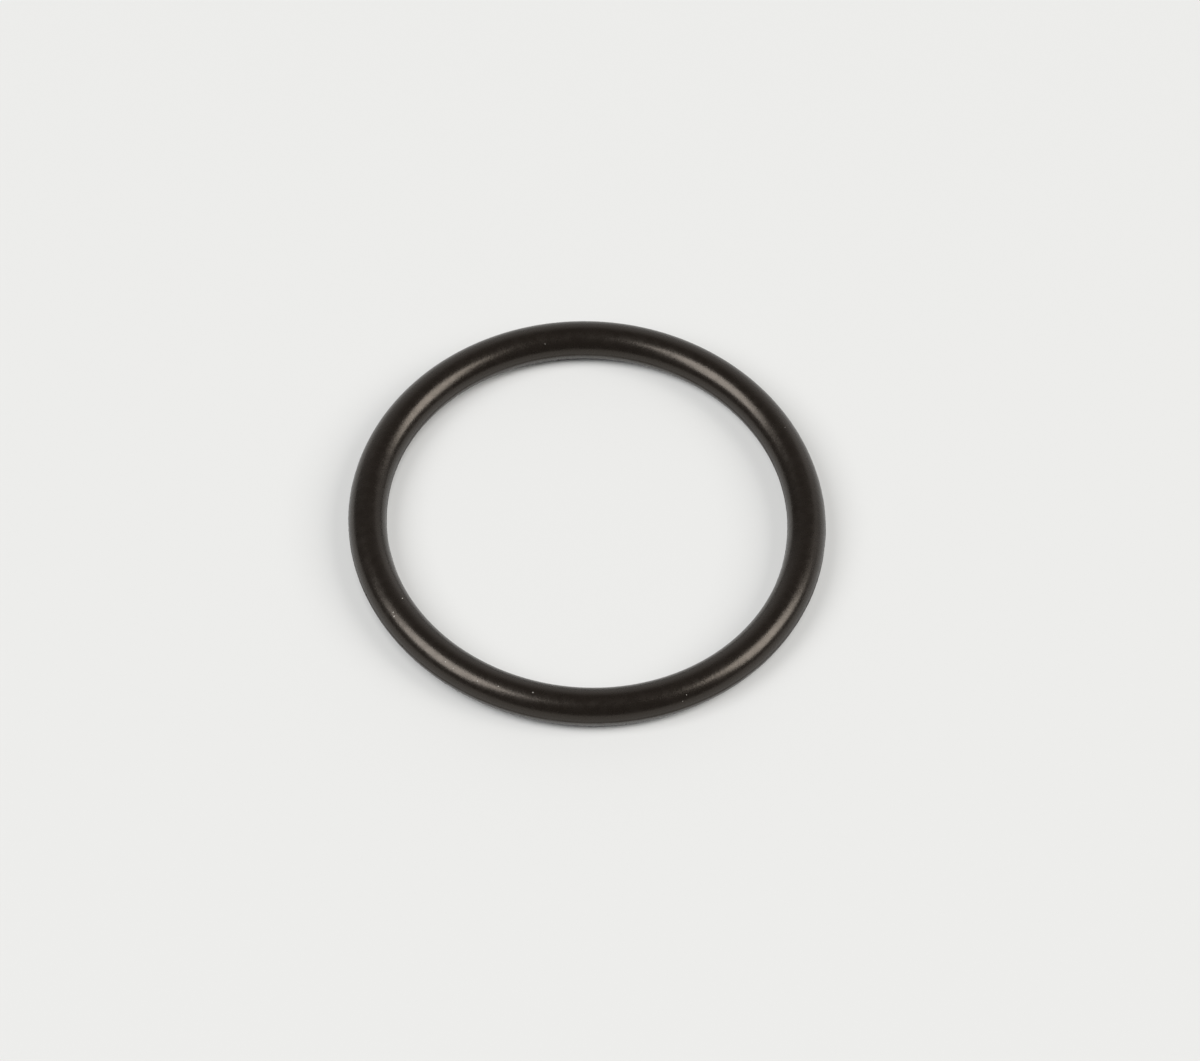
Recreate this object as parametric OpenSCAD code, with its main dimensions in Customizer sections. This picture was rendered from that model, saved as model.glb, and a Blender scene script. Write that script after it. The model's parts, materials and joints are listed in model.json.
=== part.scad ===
// Moulded rubber o-ring, size 018 of the inch series: a round cord closed into a ring.
// The standard's inner diameter is 18.77, give or take 0.23. This is one such ring's own.
// It lies flat. The origin is the ring's centre, halfway up, and +Z runs along the ring's axis.
// All sizes are in millimetres.

/* [Ring] */
// Inner diameter of the ring, measured on the round cord
inner_d = 18.90; // [5:0.01:60]
// Diameter of the round cord
cord_d = 1.78; // [1:0.01:5]

/* [Parting line] */
// How far the trimmed parting ridge stands proud of the cord, on the inner and the outer circle
ridge_proud = 0.02; // [0.01:0.005:0.08]
// Width of the flat land that trimming leaves on top of the ridge
land_w = 0.08; // [0.04:0.01:0.2]
// Width of each sloping side of the ridge, from the land's edge down to the cord
ridge_side_w = 0.05; // [0.02:0.01:0.15]

/* [Hidden] */
$fn = 192;

// Colour of the rubber
rubber_black = "#24201c";
// Radius of the cord, and of the circle that its centre follows
cord_r = cord_d / 2;
path_r = inner_d / 2 + cord_r;
// Half the ridge's height along Z at its root, where it runs into the cord
root_half = land_w / 2 + ridge_side_w;
// Distances from the cord's centre to the root, which lies on the cord, and to the land
root_offset = sqrt(cord_r * cord_r - root_half * root_half);
land_offset = cord_r + ridge_proud;

// Section of both parting ridges, joined across the middle of the cord
module ridge_section() {
    polygon([
        [-land_offset, -land_w / 2],
        [-root_offset, -root_half],
        [root_offset, -root_half],
        [land_offset, -land_w / 2],
        [land_offset, land_w / 2],
        [root_offset, root_half],
        [-root_offset, root_half],
        [-land_offset, land_w / 2]
    ]);
}

// Section of the moulded cord, centred on the origin
module cord_section() {
    circle(r = cord_r);
    ridge_section();
}

// The ring is its cord's section turned once round the axis
module o_ring() {
    color(rubber_black)
    rotate_extrude()
    translate([path_r, 0])
    cord_section();
}

o_ring();
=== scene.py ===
# Looks of the rubber o-ring: a satin black moulded ring lying on a plain pale floor.
# Everything is in metres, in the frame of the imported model.
import json
import math

import bpy
from mathutils import Matrix, Vector, noise


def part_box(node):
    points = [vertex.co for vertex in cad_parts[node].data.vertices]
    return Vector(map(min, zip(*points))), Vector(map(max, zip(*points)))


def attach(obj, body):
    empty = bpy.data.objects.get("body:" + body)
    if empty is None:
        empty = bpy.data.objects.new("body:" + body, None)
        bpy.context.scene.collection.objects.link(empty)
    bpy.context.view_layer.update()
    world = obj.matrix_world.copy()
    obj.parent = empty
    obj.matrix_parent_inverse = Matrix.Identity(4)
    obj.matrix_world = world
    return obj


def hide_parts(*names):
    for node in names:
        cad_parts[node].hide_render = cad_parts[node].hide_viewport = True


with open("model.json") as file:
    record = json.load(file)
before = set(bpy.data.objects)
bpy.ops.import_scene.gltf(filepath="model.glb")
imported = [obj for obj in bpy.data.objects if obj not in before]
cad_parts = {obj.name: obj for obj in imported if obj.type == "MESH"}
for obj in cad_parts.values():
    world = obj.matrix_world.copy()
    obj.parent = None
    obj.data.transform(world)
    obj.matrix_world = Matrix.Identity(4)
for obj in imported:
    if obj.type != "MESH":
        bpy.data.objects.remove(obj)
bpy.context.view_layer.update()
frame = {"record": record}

MM = 0.001

# The ring's sizes, all read from the frame
mounts = {mount["name"]: mount for mount in frame["record"]["mounts"]}
INNER_LAND_R = mounts["inner_seat"]["dims"]["r_mm"] * MM
OUTER_LAND_R = mounts["outer_seat"]["dims"]["r_mm"] * MM
PATH_R = (INNER_LAND_R + OUTER_LAND_R) / 2
CORD_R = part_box("o_ring")[1].z
RIDGE_PROUD = (OUTER_LAND_R - INNER_LAND_R) / 2 - CORD_R
FLOOR_Z = -CORD_R

# The ring's mesh: steps round the ring and round its cord, and how much closer the steps lie at the ridges
PATH_STEPS = 960
CORD_STEPS = 104
RIDGE_CROWDING = 0.36

# The ring's texture: strips that each hold an equal part of the ring, and the gap between two of them
STRIPS = 4
STRIP_GAP = 0.01

# The soft ring lies slightly out of round: (waves in a turn, height of the wave, angle of a crest)
PATH_WAVES = (
    (2, 0.079 * MM, math.radians(-53)),
    (3, 0.022 * MM, math.radians(-50)),
)

# The parting ridge: half widths of its flat land and of its root
LAND_HALF = 0.04 * MM
ROOT_HALF = 0.09 * MM

# What the trimming left of the ridge, as shares of its full height: on average and at the least
TRIM_MEAN = 0.7
TRIM_LEAST = 0.15
# The coarse and the fine unevenness of the trimming: size along the ridge, and share of the full height
TRIM_COARSE_SIZE, TRIM_COARSE_SHARE = 1.1 * MM, 0.5
TRIM_FINE_SIZE, TRIM_FINE_SHARE = 0.16 * MM, 0.35


def wave_offset(turn):
    """How far the cord's centre lies outside the true circle at an angle round the ring."""
    return sum(high * math.cos(count * (turn - crest)) for count, high, crest in PATH_WAVES)


def trim_height(place):
    """Height of the ridge that the trimming left near a point, as a share of its full height."""
    coarse = TRIM_COARSE_SHARE * noise.noise(place / TRIM_COARSE_SIZE)
    fine = TRIM_FINE_SHARE * noise.noise(place / TRIM_FINE_SIZE)
    return min(1.0, max(TRIM_LEAST, TRIM_MEAN + coarse + fine))


def ridge_height(around, turn):
    """Height of the parting ridge over the round cord at an angle round the cord's section."""
    height_z = CORD_R * math.sin(around)
    if abs(height_z) >= ROOT_HALF:
        return 0.0
    slope = min(1.0, (ROOT_HALF - abs(height_z)) / (ROOT_HALF - LAND_HALF))
    side = 1 if math.cos(around) > 0 else -1
    radius = PATH_R + side * CORD_R
    place = Vector((radius * math.cos(turn), radius * math.sin(turn), 0))
    return RIDGE_PROUD * slope * trim_height(place)


def cord_angles():
    """Angles round the cord's section, closer together at the two parting ridges."""
    evenly = [2 * math.pi * step / CORD_STEPS for step in range(CORD_STEPS)]
    return [angle - RIDGE_CROWDING * math.sin(2 * angle) for angle in evenly]


def strip_places():
    """Places of the mesh's face corners on a square texture, where each quarter of the ring is one strip."""
    steps = PATH_STEPS // STRIPS
    height = 1 / STRIPS - STRIP_GAP
    places = []
    for step in range(PATH_STEPS):
        strip, along = divmod(step, steps)
        foot = strip / STRIPS + STRIP_GAP / 2
        left, right = ((1 - STRIP_GAP) * (along + end) / steps + STRIP_GAP / 2 for end in (0, 1))
        for side in range(CORD_STEPS):
            low, high = (foot + height * (side + end) / CORD_STEPS for end in (0, 1))
            places += [left, low, right, low, right, high, left, high]
    return places


def new_object(name, data):
    """A new object of the scene, made of a mesh, a light or a camera."""
    thing = bpy.data.objects.new(name, data)
    bpy.context.scene.collection.objects.link(thing)
    return thing


def ring_piece():
    """The moulded ring as one closed mesh of quads, with its round section swept along the waved circle."""
    angles = cord_angles()
    points = []
    for step in range(PATH_STEPS):
        turn = 2 * math.pi * step / PATH_STEPS
        path = PATH_R + wave_offset(turn)
        for around in angles:
            cord = CORD_R + ridge_height(around, turn)
            radius = path + cord * math.cos(around)
            points.append((radius * math.cos(turn), radius * math.sin(turn), cord * math.sin(around)))
    faces = []
    for step in range(PATH_STEPS):
        here = step * CORD_STEPS
        there = (step + 1) % PATH_STEPS * CORD_STEPS
        for side in range(CORD_STEPS):
            beside = (side + 1) % CORD_STEPS
            faces.append((here + side, there + side, there + beside, here + beside))
    mesh = bpy.data.meshes.new("moulded_ring")
    mesh.from_pydata(points, [], faces)
    mesh.polygons.foreach_set("use_smooth", [True] * len(faces))
    # A square texture layer on which each quarter of the ring is one strip
    strips = mesh.uv_layers.new(name="OFBake")
    strips.data.foreach_set("uv", strip_places())
    mesh.update()
    return new_object("moulded_ring", mesh)


class Nodes:
    """A short way to lay out the nodes of a material or of the world."""

    def __init__(self, owner):
        owner.use_nodes = True
        self.tree = owner.node_tree

    def add(self, kind, inputs=None, **settings):
        """A new node, with its settings made and its inputs filled."""
        node = self.tree.nodes.new(kind)
        for key, value in settings.items():
            setattr(node, key, value)
        self.fill(node, inputs or {})
        return node

    def fill(self, node, inputs):
        """Links a node's inputs to the outputs of other nodes, or writes their values."""
        for key, value in inputs.items():
            if isinstance(value, bpy.types.NodeSocket):
                self.tree.links.new(value, node.inputs[key])
            else:
                node.inputs[key].default_value = value

    def maths(self, operation, *values):
        """The result of a sum on numbers."""
        return self.add("ShaderNodeMath", dict(enumerate(values)), operation=operation).outputs["Value"]

    def vector_maths(self, operation, *values):
        """A node that does a sum on vectors."""
        return self.add("ShaderNodeVectorMath", dict(enumerate(values)), operation=operation)

    def ramp(self, value, start, end, low=0.0, high=1.0, shape="LINEAR"):
        """A number that goes from low to high while the value goes from start to end, and stays there."""
        return self.add("ShaderNodeMapRange", {
            "Value": value,
            "From Min": start,
            "From Max": end,
            "To Min": low,
            "To Max": high,
        }, interpolation_type=shape).outputs["Result"]

    def mixed(self, share, first, second, kind):
        """The first value where the share is 0, and the second where it is 1."""
        inputs = {"Factor": share, "A": first, "B": second}
        return self.add("ShaderNodeMix", inputs, data_type=kind).outputs["Result"]


RUBBER_DARK = (0.0066, 0.0046, 0.0033, 1)
RUBBER_LIGHT = (0.0073, 0.0052, 0.0038, 1)
RUBBER_IOR = 1.52
RUBBER_TINT = (1.0, 0.889, 0.785, 1)
DUST_COLOUR = (0.42, 0.40, 0.37, 1)

# Grains of dust that the photograph shows: angle round the ring, angle round the cord, up from the ring's
# outer side, and radius of the grain
DUST_GRAINS = (
    (212.1, 61.5, 0.034 * MM),
    (213.1, 56.3, 0.040 * MM),
    (209.7, 111.7, 0.036 * MM),
    (231.8, 61.0, 0.034 * MM),
    (234.5, 57.4, 0.028 * MM),
    (241.5, 58.0, 0.030 * MM),
    (247.0, 67.8, 0.034 * MM),
    (255.9, 80.5, 0.034 * MM),
    (294.4, 44.6, 0.022 * MM),
    (293.1, 29.0, 0.022 * MM),
    (101.8, 128.3, 0.018 * MM),
    (27.1, 74.9, 0.017 * MM),
)
# Pits that the photograph shows, placed in the same way: one on the inner shoulder, two on the parting line
PITS = (
    (211.2, 106.4, 0.045 * MM),
    (219.4, 4.0, 0.065 * MM),
    (202.4, 5.0, 0.060 * MM),
)
# Part of a grain's or a pit's radius over which it is full, before it fades out towards its edge
SPOT_CORE = 0.6
# How far the outlines of the grains wander, and how closely they do so, in waves to a metre
DUST_RAGGED = 0.03 * MM
DUST_WAVES = 30000
DUST_DETAIL = 1

# The mottle of colour and gloss: waves to a metre, layers of detail, and how strong each next layer is
MOTTLE_WAVES = 2600
MOTTLE_DETAIL = 4
MOTTLE_FADE = 0.6
# Roughness of the moulded rubber at the low and the high places of the mottle
MOTTLE_LOW, MOTTLE_HIGH = 0.3, 0.7
ROUGHNESS_LOW, ROUGHNESS_HIGH = 0.225, 0.315
# How much rougher the trimmed parting band is
TRIM_ROUGHER = 0.2

# The moulded grain: waves to a metre, layers of detail, how strong each next layer is, height and strength
GRAIN_WAVES = 9000
GRAIN_DETAIL = 3
GRAIN_FADE = 0.6
GRAIN_HEIGHT = 0.02 * MM
GRAIN_STRENGTH = 0.20
# Depth of the pits, in heights of the grain
PIT_DEPTH = 4.0


def on_cord(turn_degrees, around_degrees):
    """A point on the cord's surface, from its angle round the ring and its angle round the cord."""
    turn, around = math.radians(turn_degrees), math.radians(around_degrees)
    radius = PATH_R + wave_offset(turn) + CORD_R * math.cos(around)
    return Vector((radius * math.cos(turn), radius * math.sin(turn), CORD_R * math.sin(around)))


def spots(nodes, place, listed):
    """1 inside the listed round spots of the cord, falling to 0 at their edges."""
    share = 0.0
    for turn, around, size in listed:
        away = nodes.vector_maths("DISTANCE", place, on_cord(turn, around)).outputs["Value"]
        share = nodes.maths("MAXIMUM", share, nodes.ramp(away, size, size * SPOT_CORE))
    return share


def dust(nodes, place):
    """Share of dust, in the grains that the photograph shows, with ragged outlines."""
    wobble = nodes.add("ShaderNodeTexNoise", {"Vector": place, "Scale": DUST_WAVES, "Detail": DUST_DETAIL})
    reach = (DUST_RAGGED,) * 3
    half_reach = (DUST_RAGGED / 2,) * 3
    bent = nodes.vector_maths("MULTIPLY_ADD", wobble.outputs["Color"], reach, place).outputs["Vector"]
    ragged = nodes.vector_maths("SUBTRACT", bent, half_reach).outputs["Vector"]
    return spots(nodes, ragged, DUST_GRAINS)


def parting_band(nodes, place):
    """1 on the parting ridge's land, falling to 0 at its root."""
    height = nodes.add("ShaderNodeSeparateXYZ", {"Vector": place}).outputs["Z"]
    return nodes.ramp(nodes.maths("ABSOLUTE", height), ROOT_HALF, LAND_HALF)


def rubber_material():
    """Satin black rubber with a fine moulded grain, a trimmed parting band and a little dust."""
    material = bpy.data.materials.new("satin_black_rubber")
    nodes = Nodes(material)
    place = nodes.add("ShaderNodeTexCoord").outputs["Object"]
    mottle = nodes.add("ShaderNodeTexNoise", {
        "Vector": place,
        "Scale": MOTTLE_WAVES,
        "Detail": MOTTLE_DETAIL,
        "Roughness": MOTTLE_FADE,
    }).outputs["Fac"]
    specks = dust(nodes, place)
    pits = spots(nodes, place, PITS)
    tone = nodes.mixed(mottle, RUBBER_DARK, RUBBER_LIGHT, "RGBA")
    moulded = nodes.ramp(mottle, MOTTLE_LOW, MOTTLE_HIGH, ROUGHNESS_LOW, ROUGHNESS_HIGH)
    trimmed = nodes.maths("MULTIPLY_ADD", parting_band(nodes, place), TRIM_ROUGHER, moulded)
    dusty = nodes.maths("MAXIMUM", trimmed, specks)
    grain = nodes.add("ShaderNodeTexNoise", {
        "Vector": place,
        "Scale": GRAIN_WAVES,
        "Detail": GRAIN_DETAIL,
        "Roughness": GRAIN_FADE,
    }).outputs["Fac"]
    bump = nodes.add("ShaderNodeBump", {
        "Height": nodes.maths("MULTIPLY_ADD", pits, -PIT_DEPTH, grain),
        "Strength": GRAIN_STRENGTH,
        "Distance": GRAIN_HEIGHT,
    })
    nodes.fill(nodes.tree.nodes["Principled BSDF"], {
        "Base Color": nodes.mixed(specks, tone, DUST_COLOUR, "RGBA"),
        "Roughness": nodes.maths("MAXIMUM", dusty, pits),
        "Normal": bump.outputs["Normal"],
        "IOR": RUBBER_IOR,
        "Specular Tint": RUBBER_TINT,
    })
    return material


# The floor's half width, its colour, and its dull surface
FLOOR_HALF = 4.0
FLOOR_COLOUR = (0.682, 0.686, 0.682, 1)
FLOOR_ROUGHNESS = 0.9
FLOOR_SPECULAR = 0.1
# Painted light: the camera and the ring's reflections see this glow mixed into the floor by this share,
# which lightens the ring's shadows on it.
FLOOR_PAINTED_LIGHT_COLOUR = (0.85, 0.85, 0.835, 1)
FLOOR_PAINTED_LIGHT_SHARE = 0.42
# Distances from the cord's centre line. Nearer than the first, under the cord, no painted light is mixed in
# and the shadow stays as dark as it falls, and beyond the second the share is whole.
PAINTED_LIGHT_FROM, PAINTED_LIGHT_FULL = 0.50 * MM, 0.95 * MM


def painted_light_share(nodes):
    """Share of the painted light that lightens the shadows: none on the floor under the cord, rising to the
    whole share beside it.
    """
    place = nodes.add("ShaderNodeNewGeometry").outputs["Position"]
    parts = nodes.add("ShaderNodeSeparateXYZ", {"Vector": place})
    flat = nodes.add("ShaderNodeCombineXYZ", {"X": parts.outputs["X"], "Y": parts.outputs["Y"]})
    radius = nodes.vector_maths("LENGTH", flat.outputs["Vector"]).outputs["Value"]
    away = nodes.maths("ABSOLUTE", nodes.maths("SUBTRACT", radius, PATH_R))
    return nodes.ramp(away, PAINTED_LIGHT_FROM, PAINTED_LIGHT_FULL, high=FLOOR_PAINTED_LIGHT_SHARE, shape="SMOOTHSTEP")


def floor_material():
    """The plain pale floor's sheet, with a painted glow mixed in that lightens the shadows on it for the
    camera and for reflections.
    """
    material = bpy.data.materials.new("pale_floor")
    nodes = Nodes(material)
    shader = nodes.tree.nodes["Principled BSDF"]
    nodes.fill(shader, {
        "Base Color": FLOOR_COLOUR,
        "Roughness": FLOOR_ROUGHNESS,
        "Specular IOR Level": FLOOR_SPECULAR,
    })
    # Painted light: an emission for camera and glossy rays, mixed in by the share, lightens the shadows on
    # the floor.
    rays = nodes.add("ShaderNodeLightPath").outputs
    seen = nodes.maths("MAXIMUM", rays["Is Camera Ray"], rays["Is Glossy Ray"])
    share = nodes.maths("MULTIPLY", seen, painted_light_share(nodes))
    painted_glow = nodes.add("ShaderNodeEmission", {"Color": FLOOR_PAINTED_LIGHT_COLOUR}).outputs["Emission"]
    both = nodes.add("ShaderNodeMixShader", {0: share, 1: shader.outputs["BSDF"], 2: painted_glow})
    nodes.fill(nodes.tree.nodes["Material Output"], {"Surface": both.outputs["Shader"]})
    return material


def floor():
    """The plain pale floor that the ring lies on."""
    mesh = bpy.data.meshes.new("floor")
    corners = [(x * FLOOR_HALF, y * FLOOR_HALF, FLOOR_Z) for x, y in ((-1, -1), (1, -1), (1, 1), (-1, 1))]
    mesh.from_pydata(corners, [], [(0, 1, 2, 3)])
    mesh.materials.append(floor_material())
    new_object("floor", mesh)


# Distance of the soft lights from the ring, and the colours of their light
LIGHT_DISTANCE = 1.5
PLAIN_WHITE = (1.0, 1.0, 1.0)
SLIGHTLY_WARM = (1.02, 1.0, 0.965)


def soft_light(name, azimuth, height, wide, high, glow, colour=PLAIN_WHITE):
    """A soft light facing the ring, whose face glows with a strength where 1 is white.

    The azimuth runs from +Y towards +X. It, the light's height over the floor, and how wide and how high the
    light looks from the ring are in degrees.
    """
    data = bpy.data.lights.new(name, "AREA")
    data.color = colour
    data.shape = "RECTANGLE"
    data.size = 2 * LIGHT_DISTANCE * math.tan(math.radians(wide) / 2)
    data.size_y = 2 * LIGHT_DISTANCE * math.tan(math.radians(high) / 2)
    data.energy = math.pi * data.size * data.size_y * glow
    light = new_object(name, data)
    turn, rise = math.radians(azimuth), math.radians(height)
    towards = Vector((math.sin(turn) * math.cos(rise), math.cos(turn) * math.cos(rise), math.sin(rise)))
    light.location = towards * LIGHT_DISTANCE
    light.rotation_euler = towards.to_track_quat("Z", "Y").to_euler()


# The surroundings' light: dim above and in front, paler behind the ring, and as the camera sees them
AROUND_DIM = 0.141
AROUND_PALE = 0.68
AROUND_SEEN = 0.84
# Where along +Y, on a sphere of radius 1, the paler light begins and is full
PALE_FROM, PALE_FULL = 0.55, 0.92


def surroundings():
    """The room round the ring, as light and reflections only. The camera sees it as plain and pale."""
    world = bpy.data.worlds.new("surroundings")
    bpy.context.scene.world = world
    nodes = Nodes(world)
    way = nodes.add("ShaderNodeTexCoord").outputs["Generated"]
    back = nodes.add("ShaderNodeSeparateXYZ", {"Vector": way}).outputs["Y"]
    glow = nodes.ramp(back, PALE_FROM, PALE_FULL, AROUND_DIM, AROUND_PALE, "SMOOTHSTEP")
    is_camera = nodes.add("ShaderNodeLightPath").outputs["Is Camera Ray"]
    nodes.fill(nodes.tree.nodes["Background"], {
        "Color": (1, 1, 1, 1),
        "Strength": nodes.mixed(is_camera, glow, AROUND_SEEN, "FLOAT"),
    })


# The camera, as the photograph saw the ring: long lens, looking down from the front
LENS_MM = 258.66
SENSOR_MM = 36
CAMERA_RISE = math.radians(56.406)
CAMERA_TURN = math.radians(-1.055)
CAMERA_ROLL = math.radians(1.121)
CAMERA_DISTANCE = 406.1 * MM
CAMERA_AIM = Vector((0.600 * MM, 0.050 * MM, FLOOR_Z))
# The camera sees nothing nearer to it than this
CAMERA_CLIP = 10 * MM


def camera():
    """The photograph's camera, turned round the ring's axis, raised, and rolled about its line of sight."""
    data = bpy.data.cameras.new("camera")
    data.lens = LENS_MM
    data.sensor_width = SENSOR_MM
    data.sensor_fit = "HORIZONTAL"
    data.clip_start = CAMERA_CLIP
    view = new_object("camera", data)
    back = Vector((
        math.sin(CAMERA_TURN) * math.cos(CAMERA_RISE),
        -math.cos(CAMERA_TURN) * math.cos(CAMERA_RISE),
        math.sin(CAMERA_RISE),
    ))
    right = (-back).cross(Vector((0, 0, 1))).normalized()
    up = right.cross(-back)
    rolled_right = math.cos(CAMERA_ROLL) * right + math.sin(CAMERA_ROLL) * up
    rolled_up = math.cos(CAMERA_ROLL) * up - math.sin(CAMERA_ROLL) * right
    turn = Matrix((rolled_right, rolled_up, back)).transposed()
    view.matrix_world = Matrix.Translation(CAMERA_AIM + back * CAMERA_DISTANCE) @ turn.to_4x4()
    bpy.context.scene.camera = view


ring = ring_piece()
ring.data.materials.append(rubber_material())
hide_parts("o_ring")
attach(ring, "root")

floor()
soft_light("left_softbox", azimuth=-107.7, height=50.2, wide=33.4, high=36.0, glow=6.90)
soft_light("right_softbox", azimuth=96.4, height=41.8, wide=31.0, high=36.0, glow=6.50, colour=SLIGHTLY_WARM)
soft_light("right_wall", azimuth=52.0, height=18.0, wide=42.0, high=34.0, glow=0.43)
surroundings()
camera()
bpy.context.scene.view_settings.view_transform = "Standard"
